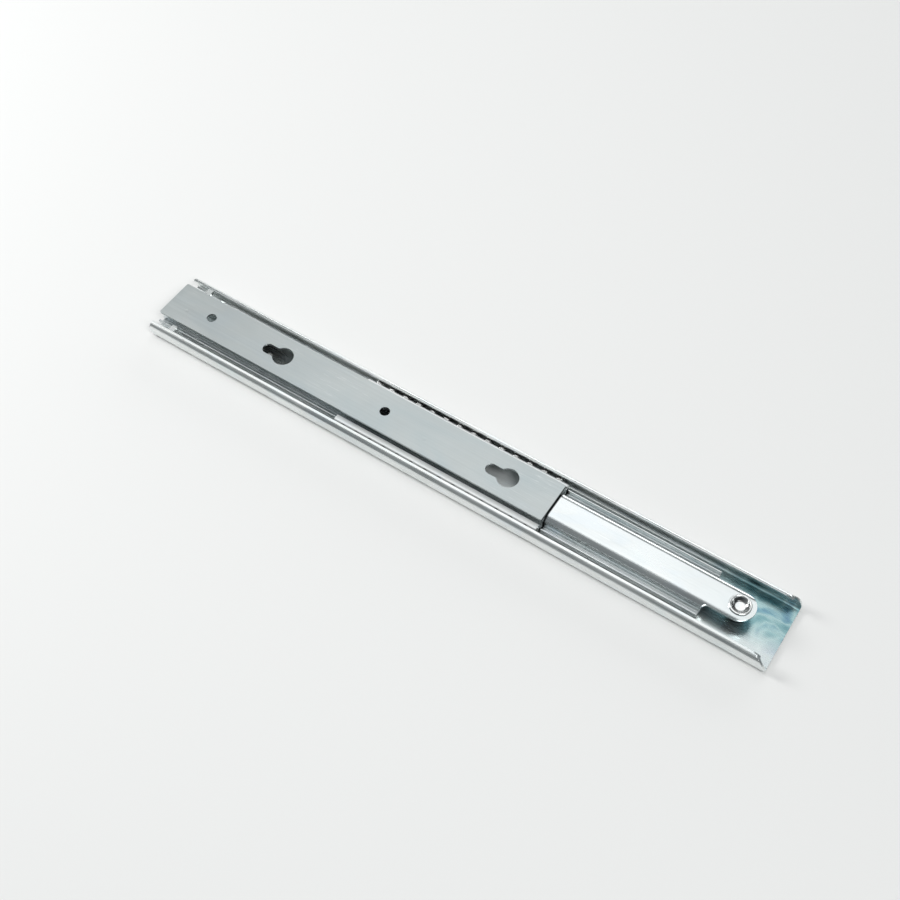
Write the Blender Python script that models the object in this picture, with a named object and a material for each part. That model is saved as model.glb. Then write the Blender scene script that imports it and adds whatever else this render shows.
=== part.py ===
"""Two-member ball-bearing drawer slide, closed, lying on the back of its cabinet rail.

X runs along the slide from the drawer-front end (-X) to the rear end (+X), Y across it and Z up
from the cabinet side to the drawer side. The origin is the centre of the cabinet rail's back face.
"""
import math

import bmesh
import bpy
from mathutils import Matrix, Vector

MM = 0.001

# Overall sizes
RAIL_LENGTH = 400 * MM
RAIL_WIDTH = 45 * MM
SLIDE_THICKNESS = 12.7 * MM

# Sheet thicknesses and the gap kept between pieces that touch
RAIL_SHEET = 1.2 * MM
PLATE_SHEET = 1.2 * MM
CAGE_SHEET = 0.8 * MM
CONTACT_GAP = 0.3 * MM
RUNNING_GAP = 0.4 * MM

# Cabinet rail
CABINET_BEND = 3 * MM
LIP_REACH = 3.8 * MM
REAR_CORNER_RUN = 10.5 * MM
REAR_CORNER_HEEL = 0.05 * MM
FRONT_STOP_FROM_END = 12 * MM
FRONT_STOP_LENGTH = 3.5 * MM
CABINET_HOLE_DIAMETER = 4.6 * MM
CABINET_SLOT_LENGTH = 8.5 * MM
CABINET_HOLES_FROM_FRONT = (37 * MM, 165 * MM, 340 * MM)
CABINET_SLOTS_FROM_FRONT = (69 * MM, 293 * MM)

# Balls and their cage
BALL_DIAMETER = 5.5 * MM
BALLS_IN_A_ROW = 14
BALL_PITCH = 9.2 * MM
CAGE_FRONT_FROM_END = 131 * MM
CAGE_LENGTH = 132 * MM
CAGE_INSIDE_BALL_CENTRE = 1.3 * MM
CAGE_FLANGE_WIDTH = 3.9 * MM
POCKET_RIM = 0.4 * MM
CAGE_WINDOW_LENGTH = 34 * MM
CAGE_WINDOW_WIDTH = 16 * MM
CAGE_WINDOW_FROM_CAGE_FRONT = 9 * MM
CAGE_WINDOW_CORNER = 3 * MM

# Drawer rail
DRAWER_MEMBER_SETBACK = 1 * MM
CROWN_HALF_WIDTH = 10.5 * MM
CROWN_BEND = 5 * MM
FLANGE_BEND = 1.2 * MM
TONGUE_WIDTH = 17 * MM
TONGUE_BEFORE_EYE = 17 * MM
TONGUE_ROOT_FILLET = 3 * MM
EYE_FROM_REAR = 26 * MM

# Drawer plate and its fixing holes
PLATE_WIDTH = 26 * MM
PLATE_REAR_FROM_FRONT = 264 * MM
PLATE_CORNER = 1 * MM
PLATE_HOLE_DIAMETER = 6 * MM
PLATE_HOLES_FROM_FRONT = (30 * MM, 154 * MM)
KEYHOLE_HEAD_DIAMETER = 12.5 * MM
KEYHOLE_NECK_DIAMETER = 7 * MM
KEYHOLE_NECK_TO_HEAD = 10.5 * MM
KEYHOLE_NECKS_FROM_FRONT = (72 * MM, 224.5 * MM)
SCREW_HEAD_ROOM = 1.4 * MM

# Stop rivet and its buffer ring
RIVET_RIM_RADIUS = 6 * MM
RIVET_RIM_WIDTH = 1.1 * MM
RIVET_RIM_RISE = 0.6 * MM
RIVET_DISH_DEPTH = 1.8 * MM
RIVET_SHANK_RADIUS = 3 * MM
BUFFER_RADIUS = 4.7 * MM

# Facets
BEND_STEPS = 6
HOLE_STEPS = 24
POCKET_STEPS = 16
ROUND_STEPS = 32
BALL_AROUND = 12
BALL_RINGS = 8
PAST_WALL = 2 * MM

# The ball and the cage pocket round it
ball_radius = BALL_DIAMETER / 2
widest_section_offset = CAGE_INSIDE_BALL_CENTRE - CAGE_SHEET / 2
pocket_radius = math.sqrt(ball_radius ** 2 - widest_section_offset ** 2) + CONTACT_GAP

# Heights above the back face
cabinet_rail_depth = 2 * (RAIL_SHEET + RUNNING_GAP + POCKET_RIM + pocket_radius)
cabinet_web_top = RAIL_SHEET
plate_top = SLIDE_THICKNESS
plate_underside = plate_top - PLATE_SHEET
crown_top = plate_underside - CONTACT_GAP
ball_centre_height = cabinet_rail_depth / 2
cage_web_underside = cabinet_web_top + RUNNING_GAP
cage_web_top = cage_web_underside + CAGE_SHEET
drawer_flange_underside = cage_web_top + RUNNING_GAP
lip_underside = cabinet_rail_depth - RAIL_SHEET

# Distances from the slide's middle line
ball_offset = RAIL_WIDTH / 2 - RAIL_SHEET - CONTACT_GAP - ball_radius
race_wall_face = ball_offset - ball_radius - CONTACT_GAP
cage_flange_top = lip_underside - RUNNING_GAP
cage_flange_underside = cage_flange_top - CAGE_SHEET
race_wall_top = cage_flange_underside - RUNNING_GAP
cage_strip_middle = ball_offset - CAGE_INSIDE_BALL_CENTRE
cage_flange_tip = cage_strip_middle + CAGE_SHEET / 2 - CAGE_FLANGE_WIDTH

METALS = {
    "cabinet_zinc": ((0.62, 0.68, 0.68), 0.28, 1.0),
    "drawer_zinc": ((0.74, 0.77, 0.78), 0.24, 1.0),
    "plate_zinc": ((0.66, 0.70, 0.71), 0.34, 1.0),
    "cage_zinc": ((0.70, 0.72, 0.72), 0.30, 1.0),
    "ball_steel": ((0.80, 0.81, 0.82), 0.08, 1.0),
    "rivet_zinc": ((0.78, 0.80, 0.81), 0.22, 1.0),
    "buffer_rubber": ((0.05, 0.05, 0.05), 0.70, 0.0),
}


def from_front(distance):
    """X of a point this far behind the cabinet rail's front end."""
    return distance - RAIL_LENGTH / 2


def clear_scene():
    for old in list(bpy.data.objects):
        bpy.data.objects.remove(old, do_unlink=True)


def metal(name):
    colour, roughness, metallic = METALS[name]
    finish = bpy.data.materials.new(name)
    finish.use_nodes = True
    shader = finish.node_tree.nodes["Principled BSDF"]
    shader.inputs["Base Color"].default_value = (*colour, 1)
    shader.inputs["Roughness"].default_value = roughness
    shader.inputs["Metallic"].default_value = metallic
    return finish


def new_object(name, mesh_builder, finish=None, smooth_angle=None):
    mesh = bpy.data.meshes.new(name)
    bmesh.ops.recalc_face_normals(mesh_builder, faces=mesh_builder.faces)
    mesh_builder.to_mesh(mesh)
    mesh_builder.free()
    if smooth_angle is not None:
        mesh.shade_smooth()
        mesh.set_sharp_from_angle(angle=math.radians(smooth_angle))
    piece = bpy.data.objects.new(name, mesh)
    bpy.context.scene.collection.objects.link(piece)
    if finish is not None:
        mesh.materials.append(finish)
    return piece


def arc(centre, radius, start, end, steps):
    """Points on an arc about a 2-D centre, angles in degrees."""
    points = []
    for step in range(steps + 1):
        angle = math.radians(start + (end - start) * step / steps)
        points.append((centre[0] + radius * math.cos(angle), centre[1] + radius * math.sin(angle)))
    return points


def bent_path(corners):
    """A 2-D path through (across, up, bend radius) corners, with each bend rounded."""
    points = [Vector(corners[0][:2])]
    for before, corner, after in zip(corners, corners[1:], corners[2:]):
        here = Vector(corner[:2])
        back = (Vector(before[:2]) - here).normalized()
        ahead = (Vector(after[:2]) - here).normalized()
        half_angle = back.angle(ahead) / 2
        to_centre = (back + ahead).normalized() * (corner[2] / math.sin(half_angle))
        centre = here + to_centre
        first = here + back * (corner[2] / math.tan(half_angle)) - centre
        turn = first.angle_signed(here + ahead * (corner[2] / math.tan(half_angle)) - centre)
        for step in range(BEND_STEPS + 1):
            spoke = first.copy()
            spoke.rotate(Matrix.Rotation(-turn * step / BEND_STEPS, 2))
            points.append(centre + spoke)
    points.append(Vector(corners[-1][:2]))
    return points


def sheet_outline(path, thickness):
    """The closed outline of a strip of sheet whose middle follows the path."""
    left = []
    right = []
    for index, point in enumerate(path):
        before = path[max(index - 1, 0)]
        after = path[min(index + 1, len(path) - 1)]
        into = (point - before).normalized() if index else (after - point).normalized()
        out = (after - point).normalized() if index < len(path) - 1 else into
        along = (into + out).normalized()
        normal = Vector((-along.y, along.x))
        stretch = 1 / max(normal.dot(Vector((-into.y, into.x))), 0.5)
        left.append(point + normal * (thickness / 2 * stretch))
        right.append(point - normal * (thickness / 2 * stretch))
    return left + right[::-1]


def mirrored(half_path):
    """The whole path across the slide, from the half that starts at the middle line."""
    other = [Vector((-point.x, point.y)) for point in half_path[:0:-1]]
    return other + half_path[1:]


def prism(name, outline, low, high, axis, finish=None, smooth_angle=None):
    """An outline pushed along one axis. X takes (y, z) points, Y (x, z) and Z (x, y)."""
    place = {
        "X": lambda a, b, t: (t, a, b),
        "Y": lambda a, b, t: (a, t, b),
        "Z": lambda a, b, t: (a, b, t),
    }[axis]
    builder = bmesh.new()
    bottom = [builder.verts.new(place(a, b, low)) for a, b in outline]
    top = [builder.verts.new(place(a, b, high)) for a, b in outline]
    builder.faces.new(bottom[::-1])
    builder.faces.new(top)
    for index in range(len(outline)):
        following = (index + 1) % len(outline)
        builder.faces.new((bottom[index], bottom[following], top[following], top[index]))
    return new_object(name, builder, finish, smooth_angle)


def turned(name, profile, steps, finish=None, smooth_angle=30):
    """A profile of (radius, height) points, axis to axis, turned about Z."""
    builder = bmesh.new()
    rings = []
    for radius, height in profile:
        if radius == 0:
            rings.append([builder.verts.new((0, 0, height))])
            continue
        ring = []
        for step in range(steps):
            angle = math.tau * step / steps
            ring.append(builder.verts.new((radius * math.cos(angle), radius * math.sin(angle), height)))
        rings.append(ring)
    for lower, upper in zip(rings, rings[1:]):
        for step in range(steps):
            following = (step + 1) % steps
            corners = [lower[step % len(lower)], lower[following % len(lower)]]
            corners += [upper[following % len(upper)], upper[step % len(upper)]]
            builder.faces.new(list(dict.fromkeys(corners)))
    return new_object(name, builder, finish, smooth_angle)


def ring_turned(name, profile, steps, finish=None, smooth_angle=30):
    """A closed profile clear of the axis, turned about Z."""
    builder = bmesh.new()
    rings = []
    for radius, height in profile:
        ring = []
        for step in range(steps):
            angle = math.tau * step / steps
            ring.append(builder.verts.new((radius * math.cos(angle), radius * math.sin(angle), height)))
        rings.append(ring)
    for lower, upper in zip(rings, rings[1:] + rings[:1]):
        for step in range(steps):
            following = (step + 1) % steps
            builder.faces.new((lower[step], lower[following], upper[following], upper[step]))
    return new_object(name, builder, finish, smooth_angle)


def combine(piece, other, operation):
    """Adds a Boolean of the other object, which becomes a hidden helper."""
    other.hide_render = True
    other.display_type = "WIRE"
    step = piece.modifiers.new(other.name, "BOOLEAN")
    step.object = other
    step.operation = operation
    step.solver = "EXACT"


def round_cutter(name, x, diameter, low, high, y=0.0, steps=HOLE_STEPS):
    outline = arc((x, y), diameter / 2, 0, 360, steps)[:-1]
    return prism(name, outline, low, high, "Z")


def slot_outline(x, length, width, steps=HOLE_STEPS):
    """A slot across the slide, with round ends."""
    reach = (length - width) / 2
    points = arc((x, reach), width / 2, 0, 180, steps // 2)
    return points + arc((x, -reach), width / 2, 180, 360, steps // 2)


def long_outline(start, end, half_width, steps=HOLE_STEPS):
    """A long hole along the slide, from one round end's centre to the other's."""
    points = arc((end, 0), half_width, -90, 90, steps // 2)
    return points + arc((start, 0), half_width, 90, 270, steps // 2)


def keyhole_outline(neck_x):
    """A screw keyhole: a narrow neck towards the front and a wide head behind it."""
    neck_radius = KEYHOLE_NECK_DIAMETER / 2
    head_radius = KEYHOLE_HEAD_DIAMETER / 2
    meet = math.degrees(math.asin(neck_radius / head_radius))
    head_x = neck_x + KEYHOLE_NECK_TO_HEAD
    points = arc((head_x, 0), head_radius, meet - 180, 180 - meet, HOLE_STEPS)
    return points + arc((neck_x, 0), neck_radius, 90, 270, HOLE_STEPS // 2)


def box_outline(x0, x1, y0, y1, corner=0.0, steps=4):
    if corner == 0:
        return [(x0, y0), (x1, y0), (x1, y1), (x0, y1)]
    points = []
    centres = ((x1 - corner, y0 + corner, -90), (x1 - corner, y1 - corner, 0))
    centres += ((x0 + corner, y1 - corner, 90), (x0 + corner, y0 + corner, 180))
    for x, y, start in centres:
        points += arc((x, y), corner, start, start + 90, steps)
    return points


def make_cabinet_rail(finish):
    middle = RAIL_SHEET / 2
    wall = RAIL_WIDTH / 2 - middle
    top = cabinet_rail_depth - middle
    half = bent_path([
        (0, middle, 0),
        (wall, middle, CABINET_BEND),
        (wall, top, CABINET_BEND),
        (RAIL_WIDTH / 2 - LIP_REACH, top, 0),
    ])
    outline = sheet_outline(mirrored(half), RAIL_SHEET)
    rail = prism("cabinet_rail", outline, from_front(0), from_front(RAIL_LENGTH), "X", finish, 40)

    stop_front = from_front(FRONT_STOP_FROM_END)
    stop_tip = race_wall_face - RUNNING_GAP
    stop_root = RAIL_WIDTH / 2 - LIP_REACH + RAIL_SHEET / 2
    for side, word in ((1, "left"), (-1, "right")):
        across = sorted((side * stop_tip, side * stop_root))
        outline = box_outline(*across, cage_flange_underside, cabinet_rail_depth - RAIL_SHEET / 4)
        stop = prism("front_stop_" + word, outline, stop_front, stop_front + FRONT_STOP_LENGTH, "X")
        combine(rail, stop, "UNION")

    corner_x = from_front(RAIL_LENGTH - REAR_CORNER_RUN)
    run = REAR_CORNER_RUN + REAR_CORNER_HEEL
    heel = cabinet_web_top + REAR_CORNER_HEEL
    rise = cabinet_rail_depth - cabinet_web_top
    outline = [
        (corner_x + run * math.cos(math.radians(angle)), heel + rise * math.sin(math.radians(angle)))
        for angle in range(0, 91, 9)
    ]
    beyond = from_front(RAIL_LENGTH) + PAST_WALL
    above = cabinet_rail_depth + PAST_WALL
    outline += [(corner_x, above), (beyond, above), (beyond, heel)]
    combine(rail, prism("rear_corner_cutter", outline, -RAIL_WIDTH, RAIL_WIDTH, "Y"), "DIFFERENCE")

    for index, distance in enumerate(CABINET_HOLES_FROM_FRONT):
        cutter = round_cutter("cabinet_hole_cutter_%d" % index, from_front(distance),
                              CABINET_HOLE_DIAMETER, -PAST_WALL, cabinet_web_top + PAST_WALL)
        combine(rail, cutter, "DIFFERENCE")
    for index, distance in enumerate(CABINET_SLOTS_FROM_FRONT):
        outline = slot_outline(from_front(distance), CABINET_SLOT_LENGTH, CABINET_HOLE_DIAMETER)
        cutter = prism("cabinet_slot_cutter_%d" % index, outline,
                       -PAST_WALL, cabinet_web_top + PAST_WALL, "Z")
        combine(rail, cutter, "DIFFERENCE")
    return rail


def make_drawer_rail(finish):
    middle = RAIL_SHEET / 2
    top = crown_top - middle
    flange = drawer_flange_underside + middle
    race = race_wall_face - middle
    half = bent_path([
        (0, top, 0),
        (CROWN_HALF_WIDTH, top, CROWN_BEND),
        (CROWN_HALF_WIDTH, flange, FLANGE_BEND),
        (race, flange, FLANGE_BEND),
        (race, race_wall_top, 0),
    ])
    outline = sheet_outline(mirrored(half), RAIL_SHEET)
    eye_x = from_front(RAIL_LENGTH - EYE_FROM_REAR)
    eye_radius = TONGUE_WIDTH / 2
    beyond = eye_x + eye_radius + PAST_WALL
    rail = prism("drawer_rail", outline, from_front(DRAWER_MEMBER_SETBACK), beyond, "X", finish, 40)

    flange_end = eye_x - TONGUE_BEFORE_EYE
    fillet_centre = (flange_end + TONGUE_ROOT_FILLET, eye_radius + TONGUE_ROOT_FILLET)
    left_edge = arc(fillet_centre, TONGUE_ROOT_FILLET, 180, 270, BEND_STEPS)
    left_edge += arc((eye_x, 0), eye_radius, 90, 0, HOLE_STEPS // 2)
    right_edge = [(x, -y) for x, y in left_edge[-2::-1]]
    trim = left_edge + right_edge
    trim += [(flange_end, -RAIL_WIDTH), (beyond + PAST_WALL, -RAIL_WIDTH)]
    trim += [(beyond + PAST_WALL, RAIL_WIDTH), (flange_end, RAIL_WIDTH)]
    cutter = prism("tongue_trim", trim, -PAST_WALL, plate_top + PAST_WALL, "Z")
    combine(rail, cutter, "DIFFERENCE")

    rivet_cone_root = crown_top + RIVET_RIM_RISE - RIVET_RIM_RADIUS
    widen = CONTACT_GAP * math.sqrt(2)
    low = crown_top - RAIL_SHEET - PAST_WALL / 4
    high = crown_top + PAST_WALL / 4
    cone = turned("countersink_cutter", [
        (0, low),
        (low - rivet_cone_root + widen, low),
        (high - rivet_cone_root + widen, high),
        (0, high),
    ], ROUND_STEPS)
    cone.location.x = eye_x
    combine(rail, cone, "DIFFERENCE")

    room = KEYHOLE_HEAD_DIAMETER / 2 + SCREW_HEAD_ROOM
    web_low = crown_top - RAIL_SHEET * 2
    for index, distance in enumerate(KEYHOLE_NECKS_FROM_FRONT):
        neck_x = from_front(distance)
        outline = long_outline(neck_x, neck_x + KEYHOLE_NECK_TO_HEAD, room)
        cutter = prism("screw_room_cutter_%d" % index, outline, web_low, crown_top + PAST_WALL, "Z")
        combine(rail, cutter, "DIFFERENCE")
    for index, distance in enumerate(PLATE_HOLES_FROM_FRONT):
        cutter = round_cutter("screw_hole_cutter_%d" % index, from_front(distance),
                              PLATE_HOLE_DIAMETER + 2 * SCREW_HEAD_ROOM, web_low,
                              crown_top + PAST_WALL)
        combine(rail, cutter, "DIFFERENCE")
    return rail


def make_drawer_plate(finish):
    outline = box_outline(from_front(DRAWER_MEMBER_SETBACK), from_front(PLATE_REAR_FROM_FRONT),
                          -PLATE_WIDTH / 2, PLATE_WIDTH / 2, PLATE_CORNER)
    plate = prism("drawer_plate", outline, plate_underside, plate_top, "Z", finish)
    low = plate_underside - PAST_WALL
    high = plate_top + PAST_WALL
    for index, distance in enumerate(PLATE_HOLES_FROM_FRONT):
        cutter = round_cutter("plate_hole_cutter_%d" % index, from_front(distance),
                              PLATE_HOLE_DIAMETER, low, high)
        combine(plate, cutter, "DIFFERENCE")
    for index, distance in enumerate(KEYHOLE_NECKS_FROM_FRONT):
        cutter = prism("keyhole_cutter_%d" % index, keyhole_outline(from_front(distance)),
                       low, high, "Z")
        combine(plate, cutter, "DIFFERENCE")
    return plate


def ball_places():
    """X of each ball in a row, centred along the cage."""
    middle = from_front(CAGE_FRONT_FROM_END) + CAGE_LENGTH / 2
    first = middle - BALL_PITCH * (BALLS_IN_A_ROW - 1) / 2
    return [first + BALL_PITCH * index for index in range(BALLS_IN_A_ROW)]


def make_ball_cage(finish):
    middle = CAGE_SHEET / 2
    half = bent_path([
        (0, cage_web_underside + middle, 0),
        (cage_strip_middle, cage_web_underside + middle, CAGE_SHEET),
        (cage_strip_middle, cage_flange_top - middle, CAGE_SHEET),
        (cage_flange_tip, cage_flange_top - middle, 0),
    ])
    outline = sheet_outline(mirrored(half), CAGE_SHEET)
    front = from_front(CAGE_FRONT_FROM_END)
    cage = prism("ball_cage", outline, front, front + CAGE_LENGTH, "X", finish, 40)

    pocket_inside = cage_strip_middle - CAGE_SHEET * 3 / 4
    for side, word in ((1, "left"), (-1, "right")):
        inner, outer = sorted((side * pocket_inside, side * (ball_offset + ball_radius)))
        for index, x in enumerate(ball_places()):
            outline = arc((x, ball_centre_height), pocket_radius, 0, 360, POCKET_STEPS)[:-1]
            pocket = prism("pocket_cutter_%s_%d" % (word, index), outline, inner, outer, "Y")
            combine(cage, pocket, "DIFFERENCE")
    window_front = front + CAGE_WINDOW_FROM_CAGE_FRONT
    outline = box_outline(window_front, window_front + CAGE_WINDOW_LENGTH, -CAGE_WINDOW_WIDTH / 2,
                          CAGE_WINDOW_WIDTH / 2, CAGE_WINDOW_CORNER)
    cutter = prism("cage_window_cutter", outline, 0, cage_web_top + PAST_WALL, "Z")
    combine(cage, cutter, "DIFFERENCE")
    return cage


def make_balls(finish):
    builder = bmesh.new()
    bmesh.ops.create_uvsphere(builder, u_segments=BALL_AROUND, v_segments=BALL_RINGS,
                              radius=ball_radius)
    pattern = new_object("ball_pattern", builder, finish, 180)
    balls = []
    for side, word in ((1, "left"), (-1, "right")):
        for index, x in enumerate(ball_places(), start=1):
            ball = bpy.data.objects.new("ball_%s_%02d" % (word, index), pattern.data)
            ball.location = (x, side * ball_offset, ball_centre_height)
            bpy.context.scene.collection.objects.link(ball)
            balls.append(ball)
    bpy.data.objects.remove(pattern)
    return balls


def make_stop_rivet(finish):
    """A flared tubular rivet whose shank hangs down behind the cage and stops the drawer rail."""
    rim_top = crown_top + RIVET_RIM_RISE
    cone_foot = rim_top - (RIVET_RIM_RADIUS - RIVET_SHANK_RADIUS)
    dish_radius = RIVET_RIM_RADIUS - RIVET_RIM_WIDTH
    rounding = RIVET_RIM_WIDTH / 4
    rivet = turned("stop_rivet", [
        (0, cage_web_underside),
        (RIVET_SHANK_RADIUS, cage_web_underside),
        (RIVET_SHANK_RADIUS, cone_foot),
        (RIVET_RIM_RADIUS, rim_top),
        (RIVET_RIM_RADIUS - rounding, rim_top + rounding),
        (dish_radius + rounding, rim_top + rounding),
        (dish_radius, rim_top),
        (dish_radius - RIVET_DISH_DEPTH, rim_top - RIVET_DISH_DEPTH),
        (0, rim_top - RIVET_DISH_DEPTH),
    ], ROUND_STEPS, finish)
    rivet.location.x = from_front(RAIL_LENGTH - EYE_FROM_REAR)
    return rivet


def make_stop_buffer(finish):
    inner = RIVET_SHANK_RADIUS + CONTACT_GAP
    top = crown_top - RAIL_SHEET - (BUFFER_RADIUS - RIVET_SHANK_RADIUS)
    chamfer = (BUFFER_RADIUS - inner) / 4
    buffer_ring = ring_turned("stop_buffer", [
        (inner, cage_web_underside),
        (BUFFER_RADIUS - chamfer, cage_web_underside),
        (BUFFER_RADIUS, cage_web_underside + chamfer),
        (BUFFER_RADIUS, top - chamfer),
        (BUFFER_RADIUS - chamfer, top),
        (inner, top),
    ], ROUND_STEPS, finish)
    buffer_ring.location.x = from_front(RAIL_LENGTH - EYE_FROM_REAR)
    return buffer_ring


def moving_parent(name, pieces):
    """An empty at the origin of a sliding member, which carries its pieces."""
    carrier = bpy.data.objects.new(name, None)
    bpy.context.scene.collection.objects.link(carrier)
    for piece in pieces:
        piece.parent = carrier
    return carrier


def main():
    clear_scene()
    finishes = {name: metal(name) for name in METALS}
    make_cabinet_rail(finishes["cabinet_zinc"])
    moving_parent("drawer_member", [
        make_drawer_rail(finishes["drawer_zinc"]),
        make_drawer_plate(finishes["plate_zinc"]),
        make_stop_rivet(finishes["rivet_zinc"]),
        make_stop_buffer(finishes["buffer_rubber"]),
    ])
    moving_parent("ball_carriage",
                  [make_ball_cage(finishes["cage_zinc"]), *make_balls(finishes["ball_steel"])])


main()
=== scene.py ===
import math

import bmesh
import bpy
from mathutils import Matrix, Vector


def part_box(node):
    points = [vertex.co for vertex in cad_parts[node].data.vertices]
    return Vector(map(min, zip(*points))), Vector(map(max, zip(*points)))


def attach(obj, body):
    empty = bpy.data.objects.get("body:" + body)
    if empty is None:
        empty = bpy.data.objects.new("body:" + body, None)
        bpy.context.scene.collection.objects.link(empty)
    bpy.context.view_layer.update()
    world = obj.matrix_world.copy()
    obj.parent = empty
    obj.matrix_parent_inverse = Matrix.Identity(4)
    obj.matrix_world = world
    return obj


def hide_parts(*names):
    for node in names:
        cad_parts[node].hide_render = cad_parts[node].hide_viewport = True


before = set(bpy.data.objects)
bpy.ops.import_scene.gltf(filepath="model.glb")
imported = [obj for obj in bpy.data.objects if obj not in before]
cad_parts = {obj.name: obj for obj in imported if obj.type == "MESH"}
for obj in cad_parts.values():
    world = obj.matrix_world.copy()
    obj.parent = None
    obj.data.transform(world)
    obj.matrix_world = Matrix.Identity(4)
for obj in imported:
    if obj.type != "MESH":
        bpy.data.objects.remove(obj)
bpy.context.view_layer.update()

mm = 0.001
scene = bpy.context.scene

railLow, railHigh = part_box("cabinet_rail")
hatLow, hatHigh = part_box("drawer_rail")
plateLow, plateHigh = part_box("drawer_plate")
cageLow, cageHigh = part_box("ball_cage")
rivetLow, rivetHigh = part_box("stop_rivet")
ringLow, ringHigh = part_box("stop_buffer")
frontEnd = railLow.x
eyeX = (rivetLow.x + rivetHigh.x) / 2

fitGap = 0.3 * mm    # clearance where two pieces meet
rimRise = 0.6 * mm   # the rivet's rim above the drawer rail's crown
pastFace = 2 * mm    # how far a cutter runs past a face
farAside = 40 * mm   # clear of the slide's long edges


# mesh helpers

def arcPoints(cx, cy, radius, start, end, steps):
    points = []
    for i in range(steps + 1):
        angle = math.radians(start + (end - start) * i / steps)
        points.append((cx + radius * math.cos(angle), cy + radius * math.sin(angle)))
    return points


def bentPath(corners, steps):
    # corners are (across, up, bend radius); a bend radius of 0 ends the path
    points = [Vector(corners[0][:2])]
    for before, corner, after in zip(corners, corners[1:], corners[2:]):
        here = Vector(corner[:2])
        back = (Vector(before[:2]) - here).normalized()
        ahead = (Vector(after[:2]) - here).normalized()
        halfAngle = back.angle(ahead) / 2
        centre = here + (back + ahead).normalized() * (corner[2] / math.sin(halfAngle))
        reach = corner[2] / math.tan(halfAngle)
        first = here + back * reach - centre
        turn = first.angle_signed(here + ahead * reach - centre)
        for i in range(steps + 1):
            spoke = first.copy()
            spoke.rotate(Matrix.Rotation(-turn * i / steps, 2))
            points.append(centre + spoke)
    points.append(Vector(corners[-1][:2]))
    return points


def bothSides(half):
    other = [Vector((-p.x, p.y)) for p in half[:0:-1]]
    return other + half[1:]


def stripOutline(path, thick, roll=0.38):
    # a strip of sheet along the path, with rolled tips
    tipSteps = 6
    sharpest = 0.5  # keeps the outside of a tight corner from spiking
    left, right = [], []
    for i, point in enumerate(path):
        before = path[max(i - 1, 0)]
        after = path[min(i + 1, len(path) - 1)]
        into = (point - before).normalized() if i else (after - point).normalized()
        out = (after - point).normalized() if i < len(path) - 1 else into
        along = (into + out).normalized()
        normal = Vector((-along.y, along.x))
        stretch = 1 / max(normal.dot(Vector((-into.y, into.x))), sharpest)
        left.append(point + normal * (thick / 2 * stretch))
        right.append(point - normal * (thick / 2 * stretch))

    def tip(a, b, inward):
        # rounds the sheared end between a and b
        middle = (a + b) / 2
        spoke = (a - b) / 2
        points = []
        for i in range(1, tipSteps):
            angle = math.pi * i / tipSteps
            bulge = inward * math.sin(angle) * thick * roll
            points.append(middle + spoke * math.cos(angle) - bulge)
        return points

    startDir = (path[1] - path[0]).normalized()
    endDir = (path[-2] - path[-1]).normalized()
    cut = thick * roll
    left[0] = left[0] + startDir * cut
    right[0] = right[0] + startDir * cut
    left[-1] = left[-1] + endDir * cut
    right[-1] = right[-1] + endDir * cut
    endTip = tip(left[-1], right[-1], endDir)
    startTip = tip(right[0], left[0], startDir)
    return left + endTip + right[::-1] + startTip


def fromBmesh(name, bm):
    bmesh.ops.recalc_face_normals(bm, faces=bm.faces)
    mesh = bpy.data.meshes.new(name)
    bm.to_mesh(mesh)
    bm.free()
    piece = bpy.data.objects.new(name, mesh)
    scene.collection.objects.link(piece)
    return piece


def pushOut(name, outlines, low, high, axis):
    # one or more closed outlines pushed along an axis
    place = {
        "X": lambda a, b, t: (t, a, b),
        "Y": lambda a, b, t: (a, t, b),
        "Z": lambda a, b, t: (a, b, t),
    }[axis]
    bm = bmesh.new()
    for outline in outlines:
        lower = [bm.verts.new(place(a, b, low)) for a, b in outline]
        upper = [bm.verts.new(place(a, b, high)) for a, b in outline]
        bm.faces.new(lower[::-1])
        bm.faces.new(upper)
        for i in range(len(outline)):
            j = (i + 1) % len(outline)
            bm.faces.new((lower[i], lower[j], upper[j], upper[i]))
    return fromBmesh(name, bm)


def spun(name, profile, centres, steps=64):
    # profile of (radius, height), turned round a vertical line at each centre;
    # it may touch that line at its ends
    bm = bmesh.new()
    for x, y in centres:
        rings = []
        for radius, height in profile:
            if radius == 0:
                rings.append([bm.verts.new((x, y, height))])
                continue
            turns = [math.tau * i / steps for i in range(steps)]
            rings.append([
                bm.verts.new((x + radius * math.cos(a), y + radius * math.sin(a), height))
                for a in turns
            ])
        pairs = list(zip(rings, rings[1:]))
        if profile[0][0] != 0:
            pairs.append((rings[-1], rings[0]))
        for lower, upper in pairs:
            for i in range(steps):
                j = (i + 1) % steps
                corners = [lower[i % len(lower)], lower[j % len(lower)]]
                corners += [upper[j % len(upper)], upper[i % len(upper)]]
                bm.faces.new(list(dict.fromkeys(corners)))
    return fromBmesh(name, bm)


def boolean(piece, tool, operation="DIFFERENCE"):
    step = piece.modifiers.new(tool.name, "BOOLEAN")
    step.object = tool
    step.operation = operation
    step.solver = "EXACT"
    return tool


def settle(piece, tools=()):
    # writes the modifiers into the mesh and drops the tools
    bpy.context.view_layer.update()
    depsgraph = bpy.context.evaluated_depsgraph_get()
    mesh = bpy.data.meshes.new_from_object(piece.evaluated_get(depsgraph))
    old = piece.data
    piece.modifiers.clear()
    piece.data = mesh
    mesh.name = piece.name
    bpy.data.meshes.remove(old)
    for tool in tools:
        bpy.data.objects.remove(tool)


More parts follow.
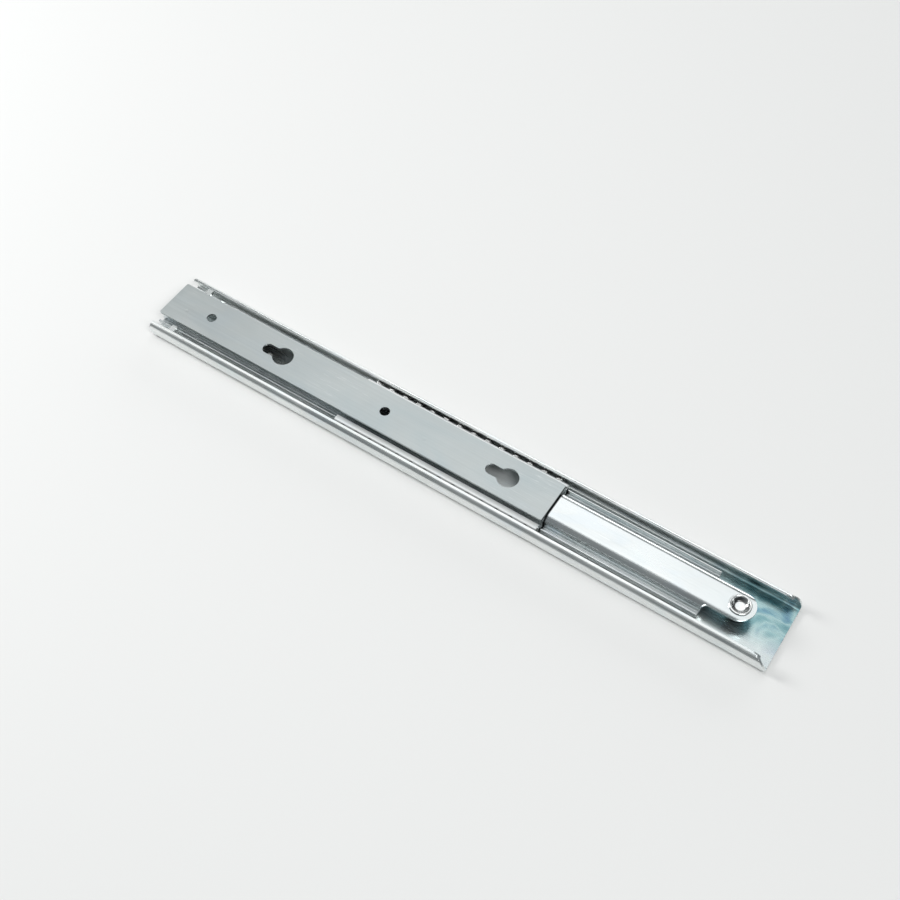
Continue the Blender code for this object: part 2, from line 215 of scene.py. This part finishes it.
def breakEdges(piece, width, segments=3):
    # eases the sheared edges, then keeps flat faces flat
    piece.data.shade_smooth()
    bevel = piece.modifiers.new("easedEdges", "BEVEL")
    bevel.width = width
    bevel.segments = segments
    bevel.limit_method = "ANGLE"
    bevel.angle_limit = math.radians(42)
    bevel.miter_outer = "MITER_ARC"
    flat = piece.modifiers.new("flatFaces", "WEIGHTED_NORMAL")
    flat.keep_sharp = True
    flat.weight = 80
    settle(piece)


def smoothTurned(piece):
    piece.data.shade_smooth()
    piece.data.set_sharp_from_angle(angle=math.radians(50))


def circle(x, radius, steps=64):
    return arcPoints(x, 0, radius, 0, 360, steps)[:-1]


def keyhole(neckX, neckRadius, headX, headRadius):
    meet = math.degrees(math.asin(neckRadius / headRadius))
    points = arcPoints(headX, 0, headRadius, meet - 180, 180 - meet, 56)
    return points + arcPoints(neckX, 0, neckRadius, 90, 270, 28)


def roundedBox(x0, x1, y0, y1, radius, steps=8):
    points = []
    for cx, cy, start in (
        (x1 - radius, y0 + radius, -90),
        (x1 - radius, y1 - radius, 0),
        (x0 + radius, y1 - radius, 90),
        (x0 + radius, y0 + radius, 180),
    ):
        points += arcPoints(cx, cy, radius, start, start + 90, steps)
    return points


# finishes

zinc = {
    "grainStretch": (14, 900, 900),  # fine lines along the strip
    "grainTones": [(0.30, (0.86, 0.87, 0.87)), (0.62, (1, 1, 1))],
    "cloudStretch": (1, 1.6, 1.6),
    "tintStretch": (1, 2.2, 2.2),
    "tintTurn": 8,
    "rubStretch": (22, 700, 22),
    "rubTurn": 4,
    "rubLine": [(0.485, (0, 0, 0)), (0.5, (1, 1, 1)), (0.515, (0, 0, 0))],
    "rubPatchScale": 32,
    "rubPatch": [(0.50, (0, 0, 0)), (0.66, (1, 1, 1))],
    "rubDepth": 0.5,
    "speckleScale": 2600,
    "bumpDepth": 0.02 * mm,
    "waveScale": 28,
    "waveDepth": 0.25 * mm,
}


def newFinish(name):
    finish = bpy.data.materials.new(name)
    finish.use_nodes = True
    nodes, links = finish.node_tree.nodes, finish.node_tree.links
    return finish, nodes, links, nodes["Principled BSDF"]


def zincFinish(name, look):
    # bright zinc plate: rolled grain along the strip, passivate tints, faint rub marks
    finish, nodes, links, shader = newFinish(name)
    shader.inputs["Metallic"].default_value = look["metallic"]
    where = nodes.new("ShaderNodeTexCoord").outputs["Object"]

    def stretched(scale, turn=0.0):
        mapping = nodes.new("ShaderNodeMapping")
        mapping.inputs["Scale"].default_value = scale
        mapping.inputs["Rotation"].default_value = (0, 0, math.radians(turn))
        links.new(where, mapping.inputs["Vector"])
        return mapping.outputs["Vector"]

    def noise(vector, scale, detail=3.0, rough=0.55, twist=0.0):
        node = nodes.new("ShaderNodeTexNoise")
        node.inputs["Scale"].default_value = scale
        node.inputs["Detail"].default_value = detail
        node.inputs["Roughness"].default_value = rough
        node.inputs["Distortion"].default_value = twist
        links.new(vector, node.inputs["Vector"])
        return node.outputs["Fac"]

    def ramp(value, stops):
        node = nodes.new("ShaderNodeValToRGB")
        elements = node.color_ramp.elements
        while len(elements) < len(stops):
            elements.new(0.5)
        for element, (position, colour) in zip(elements, stops):
            element.position = position
            element.color = (*colour, 1)
        links.new(value, node.inputs["Fac"])
        return node.outputs["Color"]

    def blend(first, second, amount, mode="MIX"):
        node = nodes.new("ShaderNodeMix")
        node.data_type = "RGBA"
        node.blend_type = mode
        for value, socket in ((amount, 0), (first, 6), (second, 7)):
            if isinstance(value, bpy.types.NodeSocket):
                links.new(value, node.inputs[socket])
            elif socket == 0:
                node.inputs[0].default_value = value
            else:
                node.inputs[socket].default_value = (*value, 1)
        return node.outputs[2]

    def maths(kind, first, second=None):
        node = nodes.new("ShaderNodeMath")
        node.operation = kind
        for i, value in enumerate((first, second)):
            if isinstance(value, bpy.types.NodeSocket):
                links.new(value, node.inputs[i])
            elif value is not None:
                node.inputs[i].default_value = value
        return node.outputs[0]

    def product(first, *others):
        for other in others:
            first = maths("MULTIPLY", first, other)
        return first

    def fade(value, start, end, low=0.0, high=1.0):
        # low at start, high at end, and held beyond them
        node = nodes.new("ShaderNodeMapRange")
        node.inputs["From Min"].default_value = start
        node.inputs["From Max"].default_value = end
        node.inputs["To Min"].default_value = low
        node.inputs["To Max"].default_value = high
        links.new(value, node.inputs["Value"])
        return node.outputs[0]

    def bump(strength, depth, height):
        node = nodes.new("ShaderNodeBump")
        node.inputs["Strength"].default_value = strength
        node.inputs["Distance"].default_value = depth
        links.new(height, node.inputs["Height"])
        return node

    grain = noise(stretched(zinc["grainStretch"]), 1.0, 4)
    cloud = noise(stretched(zinc["cloudStretch"]), look["cloudScale"], 3, 0.6, 0.4)
    tint = noise(stretched(zinc["tintStretch"], zinc["tintTurn"]), look["tintScale"], 2, 0.5, 1.2)
    speckle = noise(where, zinc["speckleScale"], 2)

    base = ramp(cloud, [(0.32, look["dark"]), (0.68, look["light"])])
    base = blend(base, ramp(tint, look["film"]), look["filmAmount"])
    base = blend(base, ramp(grain, zinc["grainTones"]), look["grainAmount"], "MULTIPLY")

    # rub marks: thin bright lines, a little off the rolling direction
    lines = noise(stretched(zinc["rubStretch"], zinc["rubTurn"]), 1.0, 2, 0.4, 0.3)
    patches = noise(where, zinc["rubPatchScale"], 2)
    marks = product(ramp(lines, zinc["rubLine"]), ramp(patches, zinc["rubPatch"]))
    base = blend(base, look["rub"], product(marks, look["rubAmount"]))

    if {"endTint", "darkLine", "dish"} & set(look):
        split = nodes.new("ShaderNodeSeparateXYZ")
        links.new(where, split.inputs[0])
        x, y, z = split.outputs
    if "endTint" in look:
        # a teal tint towards the rear end, on the inside of the channel
        tinted = look["endTint"]
        amount = product(
            fade(maths("ABSOLUTE", y), *tinted["offWall"]),
            fade(z, *tinted["offWeb"]),
            fade(z, *tinted["offLip"]),
            fade(y, *tinted["across"]),
            fade(x, *tinted["along"]),
            tinted["amount"],
        )
        swirl = noise(stretched(tinted["stretch"], tinted["turn"]), tinted["scale"], 2, 0.5, 0.5)
        base = blend(base, ramp(swirl, tinted["film"]), amount)
    if "darkLine" in look:
        # painted shadow along the plate's rear edge and in the step behind it
        line = look["darkLine"]
        amount = product(fade(x, *line["front"]), fade(x, *line["rear"]))
        base = blend(base, line["colour"], amount)
    if "dish" in look:
        # painted shadow: a dark ring on the dish's wall, heavier on the -X side
        dishShadow = look["dish"]
        fromEye = maths("SUBTRACT", x, eyeX)
        away = maths("SQRT", maths("ADD", product(fromEye, fromEye), product(y, y)))
        amount = product(
            fade(away, *dishShadow["inner"]),
            fade(away, *dishShadow["outer"]),
            fade(fromEye, *dishShadow["side"]),
            dishShadow["amount"],
        )
        base = blend(base, dishShadow["colour"], amount)
    links.new(base, shader.inputs["Base Color"])

    dull = maths("ADD", product(grain, 0.5), product(cloud, 0.5))
    links.new(fade(dull, 0.3, 0.7, *look["roughness"]), shader.inputs["Roughness"])

    height = maths("ADD", product(grain, 0.6), product(speckle, 0.4))
    height = maths("ADD", height, product(marks, -zinc["rubDepth"]))
    fine = bump(look["bump"], zinc["bumpDepth"], height)
    waves = bump(look["waves"], zinc["waveDepth"],
                 noise(stretched((1, 2, 2)), zinc["waveScale"], 1))
    links.new(waves.outputs["Normal"], fine.inputs["Normal"])
    links.new(fine.outputs["Normal"], shader.inputs["Normal"])
    return finish


film = [
    (0.30, (0.60, 0.70, 0.72)),
    (0.45, (0.74, 0.76, 0.74)),
    (0.58, (0.76, 0.74, 0.70)),
    (0.72, (0.64, 0.70, 0.76)),
]
tealTones = [
    (0.30, (0.10, 0.27, 0.31)),
    (0.43, (0.20, 0.40, 0.43)),
    (0.52, (0.38, 0.57, 0.58)),
    (0.61, (0.17, 0.36, 0.43)),
    (0.74, (0.07, 0.20, 0.33)),
]
# colour of the painted shadow along the plate's rear edge
paintedShadowColour = (0.03, 0.035, 0.035)
plateRear = plateHigh.x

railLook = {
    "metallic": 1.0,
    "dark": (0.76, 0.80, 0.80), "light": (0.90, 0.93, 0.93), "cloudScale": 22,
    "film": film, "filmAmount": 0.25, "tintScale": 26,
    "grainAmount": 0.5, "rub": (0.92, 0.93, 0.93), "rubAmount": 0.5,
    "roughness": (0.20, 0.34), "bump": 0.35, "waves": 0.10,
    "endTint": {
        "film": tealTones, "amount": 0.9,
        "stretch": (1, 1.4, 1.4), "turn": 25, "scale": 62,
        "along": (0.135, 0.172),
        "across": (-12 * mm, 0, 0.25),  # paler towards the near wall
        "offWall": (21.25 * mm, 21.15 * mm),
        "offWeb": (0.6 * mm, 1.1 * mm),
        "offLip": (8.5 * mm, 8.3 * mm),
    },
}
hatLook = {
    "metallic": 1.0,
    "dark": (0.70, 0.74, 0.75), "light": (0.82, 0.86, 0.87), "cloudScale": 26,
    "film": film, "filmAmount": 0.18, "tintScale": 22,
    "grainAmount": 0.55, "rub": (0.97, 0.97, 0.97), "rubAmount": 0.5,
    "roughness": (0.17, 0.30), "bump": 0.3, "waves": 0.12,
    # painted shadow on the web, in the step just behind the plate's rear edge
    "darkLine": {
        "colour": paintedShadowColour,
        "front": (plateRear - 0.4 * mm, plateRear - 0.1 * mm),
        "rear": (plateRear + 1.1 * mm, plateRear + 0.6 * mm),
    },
}
plateLook = {
    "metallic": 0.92,
    "dark": (0.44, 0.49, 0.50), "light": (0.54, 0.58, 0.58), "cloudScale": 14,
    "film": film, "filmAmount": 0.12, "tintScale": 18,
    "grainAmount": 0.55, "rub": (0.82, 0.84, 0.84), "rubAmount": 0.4,
    "roughness": (0.30, 0.46), "bump": 0.45, "waves": 0.08,
    # painted shade on the plate's rear end face
    "darkLine": {
        "colour": paintedShadowColour,
        "front": (plateRear - 0.4 * mm, plateRear - 0.2 * mm),
        "rear": (plateRear + 2 * mm, plateRear + 1 * mm),
    },
}
cageLook = {
    "metallic": 0.65,
    "dark": (0.80, 0.83, 0.83), "light": (0.92, 0.94, 0.94), "cloudScale": 30,
    "film": film, "filmAmount": 0.2, "tintScale": 30,
    "grainAmount": 0.7, "rub": (0.95, 0.95, 0.95), "rubAmount": 0.4,
    "roughness": (0.34, 0.48), "bump": 0.3, "waves": 0.1,
}
rivetLook = {
    "metallic": 1.0,
    "dark": (0.78, 0.80, 0.80), "light": (0.92, 0.93, 0.93), "cloudScale": 60,
    "film": film, "filmAmount": 0.15, "tintScale": 60,
    "grainAmount": 0.5, "rub": (0.97, 0.97, 0.97), "rubAmount": 0.5,
    "roughness": (0.14, 0.26), "bump": 0.3, "waves": 0.1,
    # painted shadow: dark crescent on the dish's wall, on its -X side
    "dish": {
        "colour": (0.05, 0.055, 0.055), "amount": 0.9,
        "inner": (2.3 * mm, 2.9 * mm),
        "outer": (4.9 * mm, 4.4 * mm),
        "side": (3.2 * mm, -1.2 * mm),
    },
}
ballLook = {
    "hazeScale": 900,
    "dark": (0.34, 0.34, 0.33, 1),
    "light": (0.58, 0.58, 0.58, 1),
    "roughness": (0.14, 0.34),
}
rubberLook = {
    "dustScale": 700,
    "dark": (0.018, 0.018, 0.019, 1),
    "dusty": (0.06, 0.06, 0.058, 1),
    "roughness": 0.7,
    "bump": 0.3,
    "bumpDepth": 0.05 * mm,
}


def twoTone(nodes, links, scale, first, second, shader, detail=2.0):
    # a noise between two colours, which also serves the roughness or the bump
    where = nodes.new("ShaderNodeTexCoord")
    noise = nodes.new("ShaderNodeTexNoise")
    noise.inputs["Scale"].default_value = scale
    noise.inputs["Detail"].default_value = detail
    links.new(where.outputs["Object"], noise.inputs["Vector"])
    colour = nodes.new("ShaderNodeValToRGB")
    colour.color_ramp.elements[0].color = first
    colour.color_ramp.elements[1].color = second
    links.new(noise.outputs["Fac"], colour.inputs["Fac"])
    links.new(colour.outputs["Color"], shader.inputs["Base Color"])
    return noise.outputs["Fac"]


def ballFinish(look):
    finish, nodes, links, shader = newFinish("bearingBall")
    shader.inputs["Metallic"].default_value = 1.0
    haze = twoTone(nodes, links, look["hazeScale"], look["dark"], look["light"], shader)
    grease = nodes.new("ShaderNodeMapRange")
    grease.inputs["To Min"].default_value = look["roughness"][0]
    grease.inputs["To Max"].default_value = look["roughness"][1]
    links.new(haze, grease.inputs["Value"])
    links.new(grease.outputs[0], shader.inputs["Roughness"])
    return finish


def rubberFinish(look):
    finish, nodes, links, shader = newFinish("blackRubber")
    shader.inputs["Roughness"].default_value = look["roughness"]
    dust = twoTone(nodes, links, look["dustScale"], look["dark"], look["dusty"], shader, 4)
    bump = nodes.new("ShaderNodeBump")
    bump.inputs["Strength"].default_value = look["bump"]
    bump.inputs["Distance"].default_value = look["bumpDepth"]
    links.new(dust, bump.inputs["Height"])
    links.new(bump.outputs["Normal"], shader.inputs["Normal"])
    return finish


def finishPiece(piece, finish, slot, body, *nodes):
    piece.data.materials.clear()
    piece.data.materials.append(finish)
    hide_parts(*nodes)
    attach(piece, body)
    return piece


# cabinet rail

cabinetRail = {
    "sheet": 1.2 * mm,
    "bend": 3 * mm,
    "lipReach": 3.8 * mm,
    "tipRoll": 0.12,
    "rearCornerRun": 10.5 * mm,
    "rearCornerEase": 0.05 * mm,
    "stopFromFront": 12 * mm,
    "stopLength": 3.5 * mm,
    "stopTip": 14.8 * mm,
    "stopCorner": 0.7 * mm,
    "stopBelowCage": 0.8 * mm,
    "stopBelowLip": 0.25 * mm,
    "holeRadius": 2.3 * mm,
    "slotLength": 8.5 * mm,
    "holes": (37 * mm, 165 * mm, 340 * mm),
    "slots": (69 * mm, 293 * mm),
    "edge": 0.14 * mm,
}


def makeCabinetRail(look):
    size = cabinetRail
    half = size["sheet"] / 2
    wall = railHigh.y - half
    top = railHigh.z - half
    path = bentPath([
        (0, half, 0),
        (wall, half, size["bend"]),
        (wall, top, size["bend"]),
        (railHigh.y - size["lipReach"], top, 0),
    ], 18)
    outline = stripOutline(bothSides(path), size["sheet"], size["tipRoll"])
    rail = pushOut("cabinetRail", [outline], railLow.x, railHigh.x, "X")

    # each lip's edge is lanced and pressed in as a small stop
    tools = []
    start = frontEnd + size["stopFromFront"]
    end = start + size["stopLength"]
    root = railHigh.y - size["lipReach"] + half
    low = cageHigh.z - size["stopBelowCage"]
    high = railHigh.z - size["stopBelowLip"]
    for side in (1, -1):
        across = sorted((side * size["stopTip"], side * root))
        outline = roundedBox(start, end, *across, size["stopCorner"], 6)
        stop = pushOut("lancedStop", [outline], low, high, "Z")
        tools.append(boolean(rail, stop, "UNION"))

    # the rear end is cut back in a curve, from the web up to the lips
    cornerX = railHigh.x - size["rearCornerRun"]
    heel = size["sheet"] + size["rearCornerEase"]
    rise = railHigh.z - size["sheet"]
    run = size["rearCornerRun"] + size["rearCornerEase"]
    outline = []
    for angle in range(0, 91, 5):
        a = math.radians(angle)
        outline.append((cornerX + run * math.cos(a), heel + rise * math.sin(a)))
    beyond = railHigh.x + pastFace
    above = railHigh.z + pastFace
    outline += [(cornerX, above), (beyond, above), (beyond, heel)]
    tools.append(boolean(rail, pushOut("rearCorner", [outline], -farAside, farAside, "Y")))

    holeRadius = size["holeRadius"]
    holes = [circle(frontEnd + x, holeRadius, 40) for x in size["holes"]]
    reach = size["slotLength"] / 2 - holeRadius
    for x in size["slots"]:
        slot = arcPoints(frontEnd + x, reach, holeRadius, 0, 180, 20)
        holes.append(slot + arcPoints(frontEnd + x, -reach, holeRadius, 180, 360, 20))
    screwHoles = pushOut("screwHoles", holes, -pastFace, size["sheet"] + pastFace, "Z")
    tools.append(boolean(rail, screwHoles))
    settle(rail, tools)
    breakEdges(rail, size["edge"])
    return finishPiece(rail, look, "cabinet_zinc", "cabinet_member", "cabinet_rail")


# drawer rail

drawerRail = {
    "sheet": 1.2 * mm,
    "crownHalf": 10.5 * mm,
    "crownBend": 5 * mm,
    "footBend": 1.2 * mm,
    "raceTop": 7 * mm,
    "tongueBeforeEye": 17 * mm,
    "tongueRadius": 8.5 * mm,
    "tongueFillet": 3 * mm,
    "eyeAbove": 0.5 * mm,
    "eyeBelow": 1.7 * mm,
    "screwRoom": 7.65 * mm,
    "screwHole": 4.4 * mm,
    "screwDepth": 2.4 * mm,
    "edge": 0.14 * mm,
}
plateHoles = (30 * mm, 154 * mm)
keyNecks = (72 * mm, 224.5 * mm)
neckToHead = 10.5 * mm


def makeDrawerRail(look):
    size = drawerRail
    half = size["sheet"] / 2
    top = hatHigh.z - half
    foot = hatLow.z + half
    race = hatHigh.y - half
    path = bentPath([
        (0, top, 0),
        (size["crownHalf"], top, size["crownBend"]),
        (size["crownHalf"], foot, size["footBend"]),
        (race, foot, size["footBend"]),
        (race, size["raceTop"], 0),
    ], 18)
    beyond = hatHigh.x + pastFace
    outline = stripOutline(bothSides(path), size["sheet"])
    rail = pushOut("drawerRail", [outline], hatLow.x, beyond, "X")

    # the rear end is trimmed to a rounded tongue
    flangeEnd = eyeX - size["tongueBeforeEye"]
    fillet = size["tongueFillet"]
    left = arcPoints(flangeEnd + fillet, size["tongueRadius"] + fillet, fillet, 180, 270, 12)
    left += arcPoints(eyeX, 0, size["tongueRadius"], 90, 0, 28)
    right = [(x, -y) for x, y in left[-2::-1]]
    far = beyond + pastFace
    around = [(flangeEnd, -farAside), (far, -farAside), (far, farAside), (flangeEnd, farAside)]
    trim = pushOut("tongueTrim", [left + right + around], -pastFace, hatHigh.z + pastFace, "Z")
    tools = [boolean(rail, trim)]

    # the eye is a 45 degree seat round the rivet's cone
    rimTop = hatHigh.z + rimRise
    seat = stopRivet["rimRadius"] + fitGap * math.sqrt(2) - rimTop
    low = hatHigh.z - size["eyeBelow"]
    high = hatHigh.z + size["eyeAbove"]
    profile = [(0, low), (seat + low, low), (seat + high, high), (0, high)]
    tools.append(boolean(rail, spun("countersink", profile, [(eyeX, 0)])))

    # room under the plate for the screws' heads
    rooms = []
    for x in keyNecks:
        neckX = frontEnd + x
        room = arcPoints(neckX + neckToHead, 0, size["screwRoom"], -90, 90, 28)
        rooms.append(room + arcPoints(neckX, 0, size["screwRoom"], 90, 270, 28))
    rooms += [circle(frontEnd + x, size["screwHole"], 48) for x in plateHoles]
    low = hatHigh.z - size["screwDepth"]
    tools.append(boolean(rail, pushOut("screwRooms", rooms, low, hatHigh.z + pastFace, "Z")))
    settle(rail, tools)
    breakEdges(rail, size["edge"])
    return finishPiece(rail, look, "drawer_zinc", "drawer_member", "drawer_rail")


# drawer plate

drawerPlate = {
    "corner": 1 * mm,
    "holeRadius": 3 * mm,
    "neckRadius": 3.5 * mm,
    "headRadius": 6.25 * mm,
    "edge": 0.32 * mm,
    "edgeSteps": 4,
    "weldRadius": 1.3 * mm,
    "weldDepth": 0.05 * mm,
    "welds": (14 * mm, 108 * mm, 183 * mm, 254 * mm),
    "weldOffset": 3.6 * mm,
}


def weldProfile(size):
    # the lower part of a large ball, run out above the plate
    steps = 8
    depth = size["weldDepth"]
    ball = (size["weldRadius"] ** 2 + depth ** 2) / (2 * depth)
    widest = math.asin(1.25 * size["weldRadius"] / ball)
    profile = []
    for j in range(steps + 1):
        angle = widest * j / steps
        height = plateHigh.z - depth + ball * (1 - math.cos(angle))
        profile.append((ball * math.sin(angle), height))
    return profile + [(0, height)]


def makeDrawerPlate(look):
    size = drawerPlate
    outline = roundedBox(plateLow.x, plateHigh.x, plateLow.y, plateHigh.y, size["corner"])
    plate = pushOut("drawerPlate", [outline], plateLow.z, plateHigh.z, "Z")

    # spot welds leave shallow round dishes, to either side of the middle in turn
    offset = size["weldOffset"]
    welds = [(frontEnd + x, offset if i % 2 else -offset) for i, x in enumerate(size["welds"])]
    tools = [boolean(plate, spun("weldDishes", weldProfile(size), welds, 32))]

    holes = [circle(frontEnd + x, size["holeRadius"]) for x in plateHoles]
    for x in keyNecks:
        neckX = frontEnd + x
        headX = neckX + neckToHead
        holes.append(keyhole(neckX, size["neckRadius"], headX, size["headRadius"]))
    low, high = plateLow.z - pastFace, plateHigh.z + pastFace
    tools.append(boolean(plate, pushOut("plateHoles", holes, low, high, "Z")))
    settle(plate, tools)
    breakEdges(plate, size["edge"], size["edgeSteps"])
    return finishPiece(plate, look, "plate_zinc", "drawer_member", "drawer_plate")


# ball cage

ballCage = {
    "sheet": 0.8 * mm,
    "bend": 0.8 * mm,
    "insideBallCentre": 1.3 * mm,
    "flangeWidth": 3.9 * mm,
    "pocketRadius": 2.898 * mm,
    "pocketInwards": 0.6 * mm,
    "pocketOutwards": 2 * mm,
    "windowFromFront": 9 * mm,
    "windowLength": 34 * mm,
    "windowHalf": 8 * mm,
    "windowCorner": 3 * mm,
    "edge": 0.1 * mm,
    "edgeSteps": 2,
}
ballNodes = sorted(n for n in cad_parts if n.startswith(("ball_left", "ball_right")))


def ballCentre(node):
    low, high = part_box(node)
    return (low + high) / 2


def makeBallCage(look):
    size = ballCage
    half = size["sheet"] / 2
    ballAt = ballCentre("ball_left_01")
    strip = ballAt.y - size["insideBallCentre"]
    path = bentPath([
        (0, cageLow.z + half, 0),
        (strip, cageLow.z + half, size["bend"]),
        (strip, cageHigh.z - half, size["bend"]),
        (strip + half - size["flangeWidth"], cageHigh.z - half, 0),
    ], 10)
    outline = stripOutline(bothSides(path), size["sheet"])
    cage = pushOut("ballCage", [outline], cageLow.x, cageHigh.x, "X")

    tools = []
    row = [ballCentre(n).x for n in ballNodes if n.startswith("ball_left")]
    pockets = [arcPoints(x, ballAt.z, size["pocketRadius"], 0, 360, 32)[:-1] for x in row]
    inner = strip - size["pocketInwards"]
    outer = ballAt.y + size["pocketOutwards"]
    for side in (1, -1):
        across = sorted((side * inner, side * outer))
        tools.append(boolean(cage, pushOut("pockets", pockets, *across, "Y")))
    start = cageLow.x + size["windowFromFront"]
    end = start + size["windowLength"]
    window = roundedBox(start, end, -size["windowHalf"], size["windowHalf"], size["windowCorner"])
    high = cageLow.z + size["sheet"] + pastFace
    tools.append(boolean(cage, pushOut("cageWindow", [window], 0, high, "Z")))
    settle(cage, tools)
    breakEdges(cage, size["edge"], size["edgeSteps"])
    return finishPiece(cage, look, "cage_zinc", "ball_carriage", "ball_cage")


def makeBalls(look):
    low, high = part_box(ballNodes[0])
    bm = bmesh.new()
    bmesh.ops.create_icosphere(bm, subdivisions=4, radius=(high.z - low.z) / 2)
    pattern = fromBmesh("ballPattern", bm)
    pattern.data.shade_smooth()
    pattern.data.materials.append(look)
    for node in ballNodes:
        words = node.split("_")
        ball = bpy.data.objects.new(words[0] + words[1].title() + words[2], pattern.data)
        ball.location = ballCentre(node)
        scene.collection.objects.link(ball)
        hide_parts(node)
        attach(ball, "ball_carriage")
    bpy.data.objects.remove(pattern)


# stop rivet and its buffer ring

stopRivet = {
    "rimRadius": 6 * mm,
    "rimWidth": 1.1 * mm,
    "rimCrown": 0.27 * mm,
    "dishDepth": 1.8 * mm,
    "dishFillet": 1.3 * mm,
    "dishInset": 0.55 * mm,
    "shankRadius": 3 * mm,
    "shankChamfer": 0.3 * mm,
}
stopBuffer = {
    "boreRadius": stopRivet["shankRadius"] + fitGap,
    "ease": 0.5 * mm,
}


def makeStopRivet(look):
    size = stopRivet
    rimTop = hatHigh.z + rimRise
    rim, shank = size["rimRadius"], size["shankRadius"]
    chamfer = size["shankChamfer"]
    crown = size["rimWidth"] / 2
    dish = rim - size["rimWidth"]
    floor = rimTop - size["dishDepth"]
    profile = [
        (0, rivetLow.z),
        (shank - chamfer, rivetLow.z),
        (shank, rivetLow.z + chamfer),
        (shank, rimTop - (rim - shank)),
        (rim, rimTop),
    ]
    for angle in range(15, 180, 15):
        a = math.radians(angle)
        out = rim - crown + crown * math.cos(a)
        profile.append((out, rimTop + size["rimCrown"] * math.sin(a)))
    profile.append((dish, rimTop))
    # the dish's wall runs into its floor on a small radius
    fillet = size["dishFillet"]
    foot = dish - size["dishDepth"] + size["dishInset"]
    for angle in range(45, -1, -9):
        a = math.radians(angle)
        inwards = 0.9 * fillet * (1 - math.sin(a))
        profile.append((foot - inwards, floor + fillet * (1 - math.cos(a))))
    profile.append((0, floor))
    rivet = spun("stopRivet", profile, [(eyeX, 0)], 72)
    smoothTurned(rivet)
    return finishPiece(rivet, look, "rivet_zinc", "drawer_member", "stop_rivet")


def makeStopBuffer(look):
    bore, ease = stopBuffer["boreRadius"], stopBuffer["ease"]
    centre = (ringLow.x + ringHigh.x) / 2
    edge = ringHigh.x - centre - ease
    low, high = ringLow.z + ease, ringHigh.z - ease
    quarter = [math.radians(a) for a in range(0, 91, 15)]
    profile = [(bore, ringLow.z)]
    profile += [(edge + ease * math.sin(a), low - ease * math.cos(a)) for a in quarter]
    profile += [(edge + ease * math.cos(a), high + ease * math.sin(a)) for a in quarter]
    profile.append((bore, ringHigh.z))
    ring = spun("stopBuffer", profile, [(centre, 0)])
    smoothTurned(ring)
    return finishPiece(ring, look, "buffer_rubber", "drawer_member", "stop_buffer")


# studio

studio = {
    "cameraAt": (0.2235, -0.3424, 0.6066),
    "cameraTurn": (34.482, 0.065, 33.321),
    "lens": 52.65,
    "floor": (0.80, 0.80, 0.79),
    "floorHalf": 4,
    "floorDrop": 0.3 * mm,
    "floorRoughness": 0.6,
    "world": (0.80, 0.86, 0.88),
    "worldStrength": 0.25,
}
softboxes = [
    # name, place, aimed at, width, height, watts
    ("topBox", (-0.38, 0.40, 1.25), (-0.38, 0.40, 0), 1.25, 1.5, 6.4),
    ("keyBox", (-1.40, -0.20, 0.75), (0, 0, 0), 0.5, 0.5, 14),
    ("floorBox", (1.00, -0.50, 1.50), (0, 0, 0), 0.8, 0.8, 15),
    ("farStrip", (0.0, 1.9, 0.45), (0, 0, 0.1), 2.4, 0.5, 10),
]


def makeSoftbox(name, place, aim, width, height, power):
    light = bpy.data.lights.new(name, "AREA")
    light.shape = "RECTANGLE"
    light.size = width
    light.size_y = height
    light.energy = power
    holder = bpy.data.objects.new(name, light)
    holder.location = place
    holder.rotation_euler = (Vector(aim) - Vector(place)).to_track_quat("-Z", "Y").to_euler()
    scene.collection.objects.link(holder)


def makeFloor():
    bm = bmesh.new()
    bmesh.ops.create_grid(bm, x_segments=1, y_segments=1, size=studio["floorHalf"])
    floor = fromBmesh("floor", bm)
    floor.location.z = -studio["floorDrop"]
    paint, _, _, shader = newFinish("paleFloor")
    shader.inputs["Base Color"].default_value = (*studio["floor"], 1)
    shader.inputs["Roughness"].default_value = studio["floorRoughness"]
    floor.data.materials.append(paint)


def makeStudio():
    camera = bpy.data.cameras.new("camera")
    camera.lens = studio["lens"]
    camera.sensor_width = 36
    camera.clip_start = 0.01
    holder = bpy.data.objects.new("camera", camera)
    holder.location = studio["cameraAt"]
    holder.rotation_euler = [math.radians(a) for a in studio["cameraTurn"]]
    scene.collection.objects.link(holder)
    scene.camera = holder

    makeFloor()
    world = bpy.data.worlds.new("studio")
    world.use_nodes = True
    background = world.node_tree.nodes["Background"]
    background.inputs["Color"].default_value = (*studio["world"], 1)
    background.inputs["Strength"].default_value = studio["worldStrength"]
    scene.world = world
    scene.view_settings.view_transform = "Standard"
    for box in softboxes:
        makeSoftbox(*box)


print("finishes")
zincRail = zincFinish("cabinetRailZinc", railLook)
zincHat = zincFinish("drawerRailZinc", hatLook)
zincPlate = zincFinish("drawerPlateZinc", plateLook)
zincCage = zincFinish("ballCageZinc", cageLook)
zincRivet = zincFinish("stopRivetZinc", rivetLook)

print("cabinet rail")
makeCabinetRail(zincRail)
print("drawer rail and plate")
makeDrawerRail(zincHat)
makeDrawerPlate(zincPlate)
print("ball cage and balls")
makeBallCage(zincCage)
makeBalls(ballFinish(ballLook))
print("stop rivet and buffer")
makeStopRivet(zincRivet)
makeStopBuffer(rubberFinish(rubberLook))
print("studio")
makeStudio()
